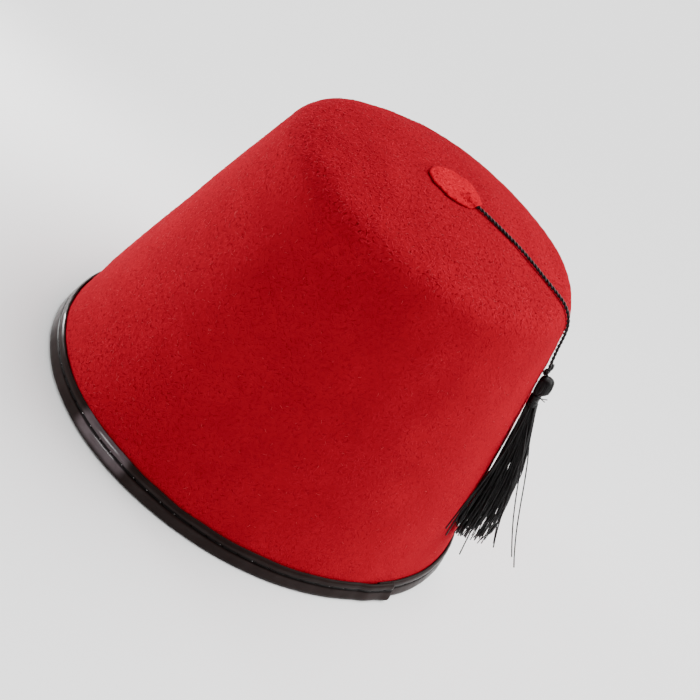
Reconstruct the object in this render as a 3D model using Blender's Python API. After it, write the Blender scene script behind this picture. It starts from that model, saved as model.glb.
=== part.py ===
"""A felt fez hat: hollow crown, lapped rim binding, top button, cord and tassel.

Metres, +Z up. The origin is the middle of the rim on the surface that the hat stands on,
the front is at -Y and the rim's oval is longest along Y.
"""
import bpy
import bmesh
import numpy as np

# Crown: the felt's outer surface
RIM_WIDTH = 0.1802             # side to side, where the wall's line meets the floor
RIM_LENGTH = 0.1932            # front to back, at the same place
CORNER_HEIGHT = 0.1270         # where wall and top would meet if the shoulder were sharp
TOP_DIAMETER = 0.1294          # across that sharp corner
TOP_SHIFT = 0.0030             # how far the top's centre stands from the rim's centre
TOP_SHIFT_AZIMUTH = 45.0       # the direction of that shift, in degrees from +X
SHOULDER_RADIUS = 0.0135
DOME_RISE = 0.0095             # the top's centre over its corner
WALL_BULGE = 0.0006            # the wall's middle over a straight line
FELT = 0.0020                  # thickness of the felt wall

# Rim binding: tape folded over the felt's edge
BINDING_HEIGHT = 0.0085
BINDING_LEAF = 0.0009          # thickness of the tape
STITCH_SINK = 0.0003           # how far the stitches pull the tape in
LAP_AZIMUTH = 16.7             # the cut end of the tape's outer layer
LAP_LENGTH = 0.0110            # how far the two ends lie on each other
LAP_RAMP = 0.0040              # the slope over the end of the hidden layer
LAP_STEP = 0.0012              # how far the outer layer stands proud

# Button: a felt disc on the middle of the top
BUTTON_DIAMETER = 0.0240
BUTTON_THICKNESS = 0.0012
HUMP_AZIMUTH = 29.5            # where the cord lifts the disc's edge
HUMP_HALF_WIDTH = 0.0050       # from the cord's middle to where the disc lies flat again
HUMP_REACH = 0.0075            # how far in from the disc's edge the hump runs out
HUMP_RAMP = 0.0025             # over which it rises from the flat disc

# Cord and tassel, hanging down the wall
CORD_DIAMETER = 0.0014
TASSEL_AZIMUTH = 38.5
KNOT_RUN = 0.0876              # from the top's centre over the felt to the knot's upper end
KNOT_LENGTH = 0.0026
KNOT_WIDTH = 0.0030
TAIL_LENGTH = 0.0036           # the cord's cut end, standing out of the knot
TAIL_WIDTH = 0.0026
TAIL_ASIDE = 0.00075           # from the knot's middle to the cut end's root
HEAD_LENGTH = 0.0080
HEAD_WIDTH = 0.0066
NECK_LENGTH = 0.0057
NECK_WIDTH = 0.0042
WINDING = 0.0006               # thickness of the thread wound round the neck
WINDING_TURNS = 6
WINDING_GROOVE = 0.0002        # depth between two turns
SKIRT_LENGTH = 0.0620
SKIRT_WIDTH = 0.0180           # across the skirt's lower end
LOCK_WIDTH = 0.0026            # of one lock of threads at its widest
LOCK_DEPTH = 0.0019

GAP = 0.0003                   # clearance between neighbouring pieces

# How many steps each shape takes, round it or along it
AROUND = 72
WALL_STEPS = 4
SHOULDER_STEPS = 6
TOP_STEPS = 5
BINDING_AROUND = 72
BUTTON_AROUND = 44
BUTTON_RINGS = 4
ROUND_SIDES = 14
KNOT_SIDES = 10
LOCK_SIDES = 6
FELT_SAMPLES = 181             # on the line over the felt along which lengths are measured
ROUTE_SAMPLES = 12             # between two rows of the cord's route
SHARP_ANGLE = 40.0             # degrees; sharper edges are shaded as edges

# The cord's route, chosen by hand: azimuth in degrees, run from the top's centre over the
# felt, and height of the cord's middle over the felt
CORD_ROUTE = (
    (28.0, 0.0092, 0.0010),
    (30.3, 0.0112, 0.0010),
    (32.4, 0.0140, 0.0010),
    (34.2, 0.0180, 0.0010),
    (35.8, 0.0230, 0.0010),
    (37.3, 0.0290, 0.0010),
    (38.1, 0.0350, 0.0010),
    (38.1, 0.0410, 0.0010),
    (38.0, 0.0465, 0.0010),
    (38.2, 0.0515, 0.0010),
    (38.6, 0.0560, 0.0010),
    (38.9, 0.0600, 0.0010),
    (39.1, 0.0640, 0.0010),
    (39.1, 0.0680, 0.0010),
    (39.0, 0.0725, 0.0011),
    (38.8, 0.0775, 0.0012),
    (38.6, 0.0825, 0.0015),
    (38.5, 0.0873, 0.0019),
)
CORD_STEP = 0.0032             # between two points of the finished tube

# The binding's section. side: +1 outside the felt, -1 inside; leaf: share of the tape's
# thickness, counted out from the felt; height: share of the binding's height;
# sink: share of the stitches' pull
BINDING_SECTION = (
    # side, leaf, height, sink
    (1, 0.0, 1.00, 0),
    (1, 0.7, 1.00, 0),
    (1, 1.0, 0.90, 0),
    (1, 1.0, 0.66, 1),
    (1, 1.0, 0.46, 0),
    (1, 1.0, 0.14, 0),
    (1, 0.4, 0.00, 0),
    (-1, 0.4, 0.00, 0),
    (-1, 1.0, 0.14, 0),
    (-1, 1.0, 0.90, 0),
    (-1, 0.7, 1.00, 0),
    (-1, 0.0, 1.00, 0),
)

# The tassel's head. along: share of its length; width: share of its width; lean: share of
# the way from the head's middle line to the neck's
HEAD_SECTION = (
    # along, width, lean
    (0.00, 0.40, 0.0),
    (0.06, 0.72, 0.0),
    (0.22, 0.96, 0.0),
    (0.46, 1.00, 0.0),
    (0.74, 0.92, 0.1),
    (0.93, 0.64, 0.6),
)
# The core that the locks grow from. along: share of the skirt's length; width and depth:
# shares of the neck's width
CORE_SECTION = (
    # along, width, depth
    (0.03, 0.92, 0.80),
    (0.10, 1.10, 0.62),
    (0.24, 1.20, 0.40),
    (0.34, 0.60, 0.25),
)

# The knot and its cut end. along: share of the knot's length; up and out: shares of the cut
# end's length, up the wall and to the side; width: share of the piece's own width
KNOT_SECTION = (
    # along, width
    (0.04, 0.55),
    (0.28, 1.00),
    (0.62, 0.96),
    (0.94, 0.50),
)
TAIL_SECTION = (
    # up, out, width
    (0.00, 0.00, 0.45),
    (0.34, 0.20, 0.95),
    (0.66, 0.38, 1.00),
    (0.90, 0.50, 0.45),
)

# Locks of the skirt, as shares. start: of the neck's half width; end: of the skirt's half
# width; layer: how high the lock lies over the wall, in halves of a lock's depth;
# length: of the skirt; size: of a lock
LOCKS = (
    # start, end, layer, length, size
    (-0.75, -0.93, 0.0, 0.90, 0.70),
    (-0.62, -0.70, 0.4, 0.97, 0.90),
    (-0.45, -0.47, 1.3, 0.95, 1.00),
    (-0.30, -0.36, 0.1, 1.00, 1.00),
    (-0.12, -0.16, 1.7, 0.99, 1.05),
    (0.00, -0.02, 0.3, 0.96, 1.00),
    (0.18, 0.14, 1.6, 0.97, 1.00),
    (0.34, 0.34, 0.2, 0.98, 0.95),
    (0.46, 0.50, 1.3, 0.94, 0.95),
    (0.62, 0.70, 0.3, 0.96, 0.85),
    (0.78, 0.94, 0.0, 0.91, 0.66),
)
# How a lock runs. along: share of its length; spread: share of the way from its start to
# its end across the skirt; girth: share of its widest
LOCK_RUN = (
    # along, spread, girth
    (0.00, 0.00, 0.50),
    (0.12, 0.13, 0.74),
    (0.32, 0.34, 0.92),
    (0.55, 0.58, 1.00),
    (0.78, 0.82, 0.94),
    (0.94, 0.97, 0.78),
    (1.00, 1.00, 0.50),
)
LOCK_ROOT = 0.02               # where a lock starts inside the core, as a share of the skirt's length
LOCK_SETTLES = 0.6             # share of its length over which a lock sinks to its layer

UP = np.array([0.0, 0.0, 1.0])


def unit(vectors):
    """Vectors at length one."""
    return vectors / np.linalg.norm(vectors, axis=-1, keepdims=True)


def smooth(share):
    """0 to 1 with a level start and end."""
    share = np.clip(share, 0.0, 1.0)
    return share * share * (3.0 - 2.0 * share)


def crown_lines(angle):
    """For each angle: the wall's foot, the shoulder's lower end, its corner, its upper end."""
    ray = np.stack([np.cos(angle), np.sin(angle), np.zeros_like(angle)], axis=-1)
    shift = np.radians(TOP_SHIFT_AZIMUTH)
    centre = np.array([TOP_SHIFT * np.cos(shift), TOP_SHIFT * np.sin(shift), CORNER_HEIGHT])
    radius = TOP_DIAMETER / 2
    foot = ray * (RIM_WIDTH / 2, RIM_LENGTH / 2, 0.0)
    corner = centre + ray * radius
    down_wall = unit(foot - corner)
    over_top = unit(UP * (2 * DOME_RISE / radius) - ray)
    half_corner = np.arccos((down_wall * over_top).sum(-1, keepdims=True)) / 2
    reach = SHOULDER_RADIUS / np.tan(half_corner)
    wall_top = corner + down_wall * reach
    share = 1.0 - reach / radius
    top_edge = centre + ray * radius * share + UP * DOME_RISE * (1.0 - share ** 2)
    return ray, centre, foot, wall_top, corner, top_edge, share


def wall_point(angle, height):
    """The wall's outer face: a straight line up from the foot, a little fuller in its middle."""
    ray, _, foot, wall_top, _, _, _ = crown_lines(angle)
    k = (height / wall_top[..., 2])[..., None]
    return foot + (wall_top - foot) * k + ray * WALL_BULGE * 4 * k * (1 - k)


def wall_lean():
    """Largest share by which the wall leans in for each step up."""
    return ((max(RIM_WIDTH, RIM_LENGTH) - TOP_DIAMETER) / 2 + TOP_SHIFT) / CORNER_HEIGHT


def felt_edge_height():
    """The felt's cut edge clears the tape under it, also at its lower, inner corner."""
    return BINDING_LEAF + GAP + FELT * wall_lean()


def crown_point(angle, t):
    """Outer felt surface. t: 0 to 1 up the wall, 1 to 2 round the shoulder as a curve that
    is pulled to the corner, 2 to 3 over the top as a parabola to its centre."""
    angle, t = np.broadcast_arrays(np.asarray(angle, float), np.asarray(t, float))
    ray, centre, _, wall_top, corner, top_edge, share = crown_lines(angle)
    edge = felt_edge_height()
    height = edge + (wall_top[..., 2] - edge) * np.clip(t, 0.0, 1.0)
    wall = wall_point(angle, height)
    u = np.clip(t - 1.0, 0.0, 1.0)[..., None]
    shoulder = (1 - u) ** 2 * wall_top + 2 * u * (1 - u) * corner + u ** 2 * top_edge
    s = share * (1.0 - np.clip(t - 2.0, 0.0, 1.0)[..., None])
    top = centre + ray * s * TOP_DIAMETER / 2 + UP * DOME_RISE * (1.0 - s ** 2)
    stretch = t[..., None]
    return np.where(stretch <= 1.0, wall, np.where(stretch <= 2.0, shoulder, top))


def felt_frame(azimuth, run):
    """Point of the felt at a run from the top's centre, and its outward, downward and
    sideways directions there."""
    angle = np.radians(azimuth)
    t = np.linspace(3.0, 0.0, FELT_SAMPLES)
    line = crown_point(angle, t)
    walked = np.append(0.0, np.cumsum(np.linalg.norm(np.diff(line, axis=0), axis=1)))
    point = np.array([np.interp(run, walked, line[:, k]) for k in range(3)])
    ahead = np.array([np.interp(run + GAP, walked, line[:, k]) for k in range(3)])
    behind = np.array([np.interp(run - GAP, walked, line[:, k]) for k in range(3)])
    down = unit(ahead - behind)
    level = np.array([-np.sin(angle), np.cos(angle), 0.0])
    out = unit(np.cross(down, level))
    return point, out, down, np.cross(out, down)


def material(name, colour, roughness, metallic=0.0):
    """A plain Principled material."""
    made = bpy.data.materials.new(name)
    made.use_nodes = True
    shader = made.node_tree.nodes["Principled BSDF"]
    shader.inputs["Base Color"].default_value = (*colour, 1.0)
    shader.inputs["Roughness"].default_value = roughness
    shader.inputs["Metallic"].default_value = metallic
    return made


def add_object(name, data, finish):
    """Puts a mesh or curve into the scene as one named object."""
    data.materials.append(finish)
    made = bpy.data.objects.new(name, data)
    bpy.context.scene.collection.objects.link(made)
    return made


def rings_mesh(name, rings, ends="open", pole=None):
    """A mesh skinned over closed rings of points. ends is open, capped with a flat face at
    both, or joined where the last ring meets the first; a pole closes the last with a fan."""
    rings = np.asarray(rings, float)
    rows, count = rings.shape[:2]
    mesh = bmesh.new()
    verts = [[mesh.verts.new(p) for p in row] for row in rings]
    for i in range(rows if ends == "joined" else rows - 1):
        here, there = verts[i], verts[(i + 1) % rows]
        for j in range(count):
            k = (j + 1) % count
            mesh.faces.new((here[j], here[k], there[k], there[j]))
    if ends == "capped":
        mesh.faces.new(verts[0][::-1])
        mesh.faces.new(verts[-1])
    if pole is not None:
        tip = mesh.verts.new(pole)
        for j in range(count):
            mesh.faces.new((verts[-1][j], verts[-1][(j + 1) % count], tip))
    data = bpy.data.meshes.new(name)
    mesh.to_mesh(data)
    mesh.free()
    data.shade_smooth()
    data.set_sharp_from_angle(angle=np.radians(SHARP_ANGLE))
    return data


def build_crown(finish):
    """The felt shell: its outer surface, thickened inwards."""
    t = np.concatenate([
        np.linspace(0.0, 1.0, WALL_STEPS, endpoint=False),
        np.linspace(1.0, 2.0, SHOULDER_STEPS, endpoint=False),
        np.linspace(2.0, 3.0, TOP_STEPS, endpoint=False),
    ])
    angle = np.linspace(0.0, 2 * np.pi, AROUND, endpoint=False)
    rings = crown_point(angle[None, :], t[:, None])
    data = rings_mesh("crown", rings, pole=crown_point(0.0, 3.0))
    crown = add_object("crown", data, finish)
    wall = crown.modifiers.new("felt thickness", "SOLIDIFY")
    wall.thickness = FELT
    wall.offset = -1.0
    wall.use_even_offset = True
    return crown


def lap_stations():
    """Angles where the lap steps and slopes, and how far the outer layer stands proud at
    each, as a share of its step."""
    cut = np.radians(LAP_AZIMUTH)
    radius = np.hypot(RIM_WIDTH / 2 * np.cos(cut), RIM_LENGTH / 2 * np.sin(cut))
    back = np.array([LAP_LENGTH + LAP_RAMP, LAP_LENGTH, 0.0, -GAP / 2])
    return cut - back / radius, np.array([0.0, 1.0, 1.0, 0.0])


def build_binding(finish):
    """The folded tape: one section carried round the rim, thicker where its ends lap. Even
    steps that come within a quarter step of the lap's own stations are left out."""
    stations, shares = lap_stations()
    even, step = np.linspace(-np.pi, np.pi, BINDING_AROUND, endpoint=False, retstep=True)
    apart = np.abs(even[:, None] - stations[None, :]).min(axis=1)
    angle = np.sort(np.concatenate([even[apart > step / 4], stations]))
    lap = np.interp(angle, stations, shares)[:, None]
    level = unit(np.stack([np.cos(angle) / RIM_WIDTH, np.sin(angle) / RIM_LENGTH,
                           np.zeros_like(angle)], axis=-1))
    inner_face = FELT * np.hypot(1.0, wall_lean())
    rows = []
    for side, leaf, height, sink in BINDING_SECTION:
        foot = wall_point(angle, np.full_like(angle, height * BINDING_HEIGHT))
        away = GAP + leaf * BINDING_LEAF - sink * STITCH_SINK
        if side > 0:
            rows.append(foot + level * (away + leaf * LAP_STEP * lap))
        else:
            rows.append(foot - level * (away + inner_face))
    fold = wall_point(angle, np.full_like(angle, BINDING_LEAF))
    rows.append(fold - level * (GAP + inner_face))
    rows.append(fold + level * GAP)
    data = rings_mesh("rim_binding", rows[::-1], ends="joined")
    return add_object("rim_binding", data, finish)


def button_lift(radius, angle):
    """How far the cord lifts the disc: a hump that dies out inwards and to both sides."""
    inward = smooth((radius - (BUTTON_DIAMETER / 2 - HUMP_REACH)) / HUMP_RAMP)
    turn = (angle - np.radians(HUMP_AZIMUTH) + np.pi) % (2 * np.pi) - np.pi
    beside = np.abs(turn) * radius - CORD_DIAMETER
    return (CORD_DIAMETER + GAP) * inward * (1.0 - smooth(beside / (HUMP_HALF_WIDTH - CORD_DIAMETER)))


def build_button(finish):
    """A flat felt disc over the middle of the top, lifted where the cord comes out."""
    radius = np.linspace(BUTTON_DIAMETER / 2, 0.0, BUTTON_RINGS, endpoint=False)[:, None]
    angle = np.linspace(0.0, 2 * np.pi, BUTTON_AROUND, endpoint=False)[None, :]
    lift = button_lift(radius, angle)
    middle = crown_point(0.0, 3.0) + UP * (GAP + BUTTON_THICKNESS)
    disc = np.stack([radius * np.cos(angle), radius * np.sin(angle), lift], axis=-1)
    data = rings_mesh("top_button", middle + disc, pole=middle)
    button = add_object("top_button", data, finish)
    felt = button.modifiers.new("disc thickness", "SOLIDIFY")
    felt.thickness = BUTTON_THICKNESS
    felt.offset = -1.0
    return button


def cord_points():
    """Even points on a smooth curve through the route."""
    knots = []
    for azimuth, run, lift in CORD_ROUTE:
        point, out, _, _ = felt_frame(azimuth, run)
        knots.append(point + out * lift)
    knots = np.array(knots)
    padded = np.vstack([2 * knots[0] - knots[1], knots, 2 * knots[-1] - knots[-2]])
    fine = []
    for a, b, c, d in zip(padded, padded[1:], padded[2:], padded[3:]):
        u = np.linspace(0.0, 1.0, ROUTE_SAMPLES, endpoint=False)[:, None]
        fine.append(0.5 * (2 * b + (c - a) * u + (2 * a - 5 * b + 4 * c - d) * u ** 2
                           + (3 * b - a - 3 * c + d) * u ** 3))
    fine = np.vstack(fine + [knots[-1:]])
    walked = np.append(0.0, np.cumsum(np.linalg.norm(np.diff(fine, axis=0), axis=1)))
    at = np.linspace(0.0, walked[-1], int(round(walked[-1] / CORD_STEP)) + 1)
    return np.stack([np.interp(at, walked, fine[:, k]) for k in range(3)], axis=-1)


def build_cord(finish):
    """The cord as a round tube along its route."""
    points = cord_points()
    curve = bpy.data.curves.new("tassel_cord", "CURVE")
    curve.dimensions = "3D"
    curve.bevel_depth = CORD_DIAMETER / 2
    curve.bevel_resolution = 2
    curve.use_fill_caps = True
    spline = curve.splines.new("POLY")
    spline.points.add(len(points) - 1)
    spline.points.foreach_set("co", np.append(points, np.ones((len(points), 1)), axis=1).ravel())
    return add_object("tassel_cord", curve, finish)


def hung_ring(run, across, lift, half_width, half_depth, sides):
    """One ring of points round a piece that hangs on the wall: its middle is at a run and a
    distance across, lifted off the felt."""
    middle, _, _, _ = felt_frame(TASSEL_AZIMUTH, run)
    turn = np.degrees(across / np.hypot(middle[0], middle[1]))
    point, out, _, side = felt_frame(TASSEL_AZIMUTH + turn, run)
    spin = np.linspace(0.0, 2 * np.pi, sides, endpoint=False)[:, None]
    return point + out * lift + out * half_depth * np.sin(spin) + side * half_width * np.cos(spin)


def head_run():
    """Where the tassel's head begins."""
    return KNOT_RUN + KNOT_LENGTH + GAP


def neck_run():
    """Where the neck's winding begins."""
    return head_run() + HEAD_LENGTH + GAP


def skirt_run():
    """Where the skirt begins."""
    return neck_run() + NECK_LENGTH + GAP


def cutter(made):
    """Keeps a shape that another one is joined with out of the model."""
    made.hide_render = True
    made.display_type = "WIRE"
    return made


def build_knot(finish):
    """The knot over the tassel's head, with the cord's cut end standing out of it."""
    lift = KNOT_WIDTH / 2 + GAP
    rings = []
    for along, width in KNOT_SECTION:
        half = width * KNOT_WIDTH / 2
        rings.append(hung_ring(KNOT_RUN + along * KNOT_LENGTH, 0.0, lift, half, half, KNOT_SIDES))
    knot = add_object("tassel_knot", rings_mesh("tassel_knot", rings, ends="capped"), finish)
    tail = []
    for up, out, width in TAIL_SECTION:
        run = KNOT_RUN + KNOT_LENGTH / 2 - up * TAIL_LENGTH
        across = TAIL_ASIDE + out * TAIL_LENGTH
        half = width * TAIL_WIDTH / 2
        tail.append(hung_ring(run, across, lift, half, half / 2, LOCK_SIDES))
    shape = rings_mesh("knot_tail", tail[::-1], ends="capped")
    joined = knot.modifiers.new("cut end", "BOOLEAN")
    joined.operation = "UNION"
    joined.solver = "EXACT"
    joined.object = cutter(add_object("knot_tail", shape, finish))
    return knot


def build_winding(finish):
    """Thread wound round the neck: a sleeve with a ridge for each turn."""
    lift = NECK_WIDTH / 2 + GAP
    ridge = NECK_WIDTH / 2
    groove = ridge - WINDING_GROOVE
    inner = ridge - WINDING
    start = neck_run()
    pitch = NECK_LENGTH / WINDING_TURNS
    stations = [(start, inner)]
    for turn in range(WINDING_TURNS):
        stations.append((start + turn * pitch, groove))
        stations.append((start + turn * pitch + pitch / 2, ridge))
    stations.append((start + NECK_LENGTH, groove))
    stations.append((start + NECK_LENGTH, inner))
    rings = [hung_ring(run, 0.0, lift, half, half, ROUND_SIDES) for run, half in stations]
    data = rings_mesh("tassel_neck_winding", rings, ends="joined")
    return add_object("tassel_neck_winding", data, finish)


def head_rings():
    """Rings of the tassel's head, its thin neck and the core that its locks grow from."""
    head_lift = HEAD_WIDTH / 2 + GAP
    neck_lift = NECK_WIDTH / 2 + GAP
    neck = NECK_WIDTH / 2 - WINDING - GAP
    rings = []
    for along, width, lean in HEAD_SECTION:
        half = width * HEAD_WIDTH / 2
        lift = max(head_lift + (neck_lift - head_lift) * lean, half + GAP)
        rings.append(hung_ring(head_run() + along * HEAD_LENGTH, 0.0, lift, half, half, ROUND_SIDES))
    for run in (head_run() + HEAD_LENGTH, skirt_run()):
        rings.append(hung_ring(run, 0.0, neck_lift, neck, neck, ROUND_SIDES))
    for along, width, depth in CORE_SECTION:
        run = skirt_run() + along * SKIRT_LENGTH
        half_width = width * NECK_WIDTH / 2
        half_depth = depth * NECK_WIDTH / 2
        rings.append(hung_ring(run, 0.0, neck_lift, half_width, half_depth, ROUND_SIDES))
    return rings


def lock_rings(start, end, layer, length, size):
    """Rings of one lock, from inside the core to its tip."""
    high = NECK_WIDTH / 2 + GAP
    rings = []
    for along, spread, girth in LOCK_RUN:
        run = skirt_run() + (LOCK_ROOT + along * (length - LOCK_ROOT)) * SKIRT_LENGTH
        across = (start * NECK_WIDTH * (1 - spread) + end * SKIRT_WIDTH * spread) / 2
        half_width = size * girth * LOCK_WIDTH / 2
        half_depth = size * girth * LOCK_DEPTH / 2
        low = half_depth + GAP + layer * LOCK_DEPTH / 2
        lift = high + (low - high) * smooth(along / LOCK_SETTLES)
        rings.append(hung_ring(run, across, lift, half_width, half_depth, LOCK_SIDES))
    return rings


def build_tassel(finish):
    """Head, core and locks fused into one solid."""
    tassel = add_object("tassel", rings_mesh("tassel", head_rings(), ends="capped"), finish)
    locks = bpy.data.collections.new("tassel_locks")
    bpy.context.scene.collection.children.link(locks)
    for number, row in enumerate(LOCKS):
        name = f"lock_{number:02d}"
        shape = rings_mesh(name, lock_rings(*row), ends="capped")
        shape.materials.append(finish)
        locks.objects.link(cutter(bpy.data.objects.new(name, shape)))
    joined = tassel.modifiers.new("locks", "BOOLEAN")
    joined.operation = "UNION"
    joined.solver = "EXACT"
    joined.operand_type = "COLLECTION"
    joined.collection = locks
    return tassel


def main():
    """Clears the scene and builds every piece."""
    for old in list(bpy.data.objects):
        bpy.data.objects.remove(old, do_unlink=True)
    felt = material("red felt", (0.36, 0.009, 0.012), 0.95)
    disc = material("button felt", (0.48, 0.022, 0.028), 0.95)
    tape = material("black tape", (0.014, 0.011, 0.011), 0.30)
    cord = material("black cord", (0.010, 0.009, 0.009), 0.45)
    thread = material("black tassel thread", (0.008, 0.007, 0.007), 0.50)
    winding = material("black winding thread", (0.010, 0.009, 0.009), 0.40)
    knot = material("black knot", (0.010, 0.009, 0.009), 0.45)
    build_crown(felt)
    build_binding(tape)
    build_button(disc)
    build_cord(cord)
    build_knot(knot)
    build_tassel(thread)
    build_winding(winding)


main()
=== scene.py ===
"""A felt fez hat standing on its rim: the finish of each piece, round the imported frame."""
import bpy
import numpy as np
from mathutils import Matrix, Vector


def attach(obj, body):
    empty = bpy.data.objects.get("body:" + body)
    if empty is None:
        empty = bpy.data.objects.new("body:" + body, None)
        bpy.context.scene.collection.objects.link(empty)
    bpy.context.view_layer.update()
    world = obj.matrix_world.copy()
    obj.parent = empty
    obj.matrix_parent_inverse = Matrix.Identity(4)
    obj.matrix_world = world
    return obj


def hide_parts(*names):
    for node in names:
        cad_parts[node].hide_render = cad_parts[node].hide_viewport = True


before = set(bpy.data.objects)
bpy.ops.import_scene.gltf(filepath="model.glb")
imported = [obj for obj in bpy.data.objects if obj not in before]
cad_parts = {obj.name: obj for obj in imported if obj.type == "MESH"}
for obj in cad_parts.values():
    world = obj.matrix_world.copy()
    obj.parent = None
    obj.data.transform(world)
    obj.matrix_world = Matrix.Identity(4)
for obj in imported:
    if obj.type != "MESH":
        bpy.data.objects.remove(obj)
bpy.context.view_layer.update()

# The view: the hat is seen from its front left and a little above, through a long lens, with
# the camera rolled so that the crown leans to the right.
AIM = Vector((0.0, 0.0, 0.0585))
VIEW_AZIMUTH = np.radians(45.0)
VIEW_ELEVATION = np.radians(27.5)
VIEW_ROLL = np.radians(38.08)
VIEW_DISTANCE = 0.6825
LENS = 88.0
SHIFT = (0.0195, -0.0327)


def add(name, data):
    """A new object in the scene."""
    made = bpy.data.objects.new(name, data)
    bpy.context.scene.collection.objects.link(made)
    return made


def standing(direction, distance):
    """The place of a camera or lamp that stands off in a direction and looks back at the hat."""
    return (Matrix.Translation(AIM + direction * distance)
            @ direction.to_track_quat("Z", "Y").to_matrix().to_4x4())


back = Vector((np.sin(VIEW_AZIMUTH) * np.cos(VIEW_ELEVATION),
               -np.cos(VIEW_AZIMUTH) * np.cos(VIEW_ELEVATION), np.sin(VIEW_ELEVATION)))
camera = add("camera", bpy.data.cameras.new("camera"))
camera.data.lens = LENS
camera.data.shift_x, camera.data.shift_y = SHIFT
camera.matrix_world = standing(back, VIEW_DISTANCE) @ Matrix.Rotation(VIEW_ROLL, 4, "Z")
bpy.context.scene.camera = camera


# The crown: one piece of red felt, steamed and pressed over a block into a sloping wall, a
# round shoulder and a low dome. It is hollow and 2 mm thick, with a cut edge at the rim.
RIM_WIDTH = 0.1802             # side to side, where the wall's line meets the floor
RIM_LENGTH = 0.1932            # front to back, at the same place
CORNER_HEIGHT = 0.1270         # where wall and top would meet if the shoulder were sharp
TOP_RADIUS = 0.0647            # at that sharp corner
TOP_CENTRE = np.array([0.00212, 0.00212, CORNER_HEIGHT])
SHOULDER_RADIUS = 0.0135
DOME_RISE = 0.0095             # the top's centre over its corner
WALL_BULGE = 0.0006            # the wall's middle over a straight line
PINCH = 0.0014                 # how far the binding draws the rim in on one side
PINCH_AZIMUTH = -146.0
PINCH_SPREAD = 16.0            # degrees
PINCH_HEIGHT = 0.030
FELT = 0.0020                  # thickness of the felt
FELT_EDGE = 0.0017             # height of the felt's cut edge
SQUEEZE = 0.0004               # how far the sewn binding presses the felt in, on both sides
SQUEEZE_HEIGHT = 0.0082
SQUEEZE_RAMP = 0.0016          # height over which that fades out
CROWN_AROUND = 480             # steps round the crown
RIM_SHARE = 0.075              # the wall's sewn part, as a share of its height
RIM_ROWS = 14                  # steps up that part, the rest, the shoulder and the top
WALL_ROWS = 60
SHOULDER_ROWS = 24
TOP_ROWS = 44
INSIDE_ROWS = 40
NUDGE = 1e-4                   # a small step, to find a surface's direction
UP = np.array([0.0, 0.0, 1.0])
FELT_WAVES = (
    # how long a wave is, how high it stands, how many waves of that kind
    (0.0450, 0.00022, 5),
    (0.0160, 0.00010, 8),
    (0.0055, 0.00004, 14),
)
FELT_SEED = 11


def unit(vectors):
    """Vectors at length one."""
    return vectors / np.linalg.norm(vectors, axis=-1, keepdims=True)


def turned(a, b, angle):
    """The direction at an angle from direction a toward direction b."""
    return a * np.cos(angle)[..., None] + b * np.sin(angle)[..., None]


def once_round(count):
    """Even angles round a circle."""
    return np.linspace(0.0, 2 * np.pi, count, endpoint=False)


def ease(share):
    """0 to 1 with a level start and end."""
    share = np.clip(share, 0.0, 1.0)
    return share * share * (3.0 - 2.0 * share)


def crown_lines(angle):
    """For each angle: the ray, the wall's foot, the shoulder's lower end, its corner, its
    upper end, and that end's share of the top's radius."""
    ray = np.stack([np.cos(angle), np.sin(angle), np.zeros_like(angle)], axis=-1)
    foot = ray * (RIM_WIDTH / 2, RIM_LENGTH / 2, 0.0)
    corner = TOP_CENTRE + ray * TOP_RADIUS
    down_wall = unit(foot - corner)
    over_top = unit(UP * (2 * DOME_RISE / TOP_RADIUS) - ray)
    half_corner = np.arccos((down_wall * over_top).sum(-1, keepdims=True)) / 2
    reach = SHOULDER_RADIUS / np.tan(half_corner)
    wall_top = corner + down_wall * reach
    share = 1.0 - reach / TOP_RADIUS
    top_edge = TOP_CENTRE + ray * TOP_RADIUS * share + UP * DOME_RISE * (1.0 - share ** 2)
    return ray, foot, wall_top, corner, top_edge, share


def wall_point(angle, height):
    """The wall's outer face: a straight line up from the foot, a little fuller in its middle
    by a parabola, and drawn in at one part of the rim by a bell curve that dies out upwards."""
    ray, foot, wall_top, _, _, _ = crown_lines(angle)
    k = (height / wall_top[..., 2])[..., None]
    turn = (np.degrees(angle) - PINCH_AZIMUTH + 180.0) % 360.0 - 180.0
    pinch = PINCH * np.exp(-(turn / PINCH_SPREAD) ** 2) * np.clip(1.0 - height / PINCH_HEIGHT, 0.0, 1.0) ** 2
    return foot + (wall_top - foot) * k + ray * (WALL_BULGE * 4 * k * (1 - k) - pinch[..., None])


def crown_point(angle, t):
    """Outer felt surface. t: 0 to 1 up the wall, 1 to 2 round the shoulder as a quadratic
    curve that is pulled to the corner, 2 to 3 over the top as a parabola to its centre."""
    angle, t = np.broadcast_arrays(np.asarray(angle, float), np.asarray(t, float))
    ray, _, wall_top, corner, top_edge, share = crown_lines(angle)
    height = FELT_EDGE + (wall_top[..., 2] - FELT_EDGE) * np.minimum(t, 1.0)
    wall = wall_point(angle, height)
    u = np.clip(t - 1.0, 0.0, 1.0)[..., None]
    shoulder = (1 - u) ** 2 * wall_top + 2 * u * (1 - u) * corner + u ** 2 * top_edge
    s = share * (1.0 - np.clip(t - 2.0, 0.0, 1.0)[..., None])
    top = TOP_CENTRE + ray * s * TOP_RADIUS + UP * DOME_RISE * (1.0 - s ** 2)
    stretch = t[..., None]
    return np.where(stretch <= 1.0, wall, np.where(stretch <= 2.0, shoulder, top))


def crown_frame(angle, t):
    """Point of the felt, and its outward and downward directions there."""
    angle, t = np.broadcast_arrays(np.asarray(angle, float), np.asarray(t, float))
    low = np.minimum(t, 3.0 - 4 * NUDGE)
    down = unit(crown_point(angle, low - NUDGE) - crown_point(angle, low + NUDGE))
    level = np.stack([-np.sin(angle), np.cos(angle), np.zeros_like(angle)], axis=-1)
    return crown_point(angle, t), unit(np.cross(down, level)), down


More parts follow.
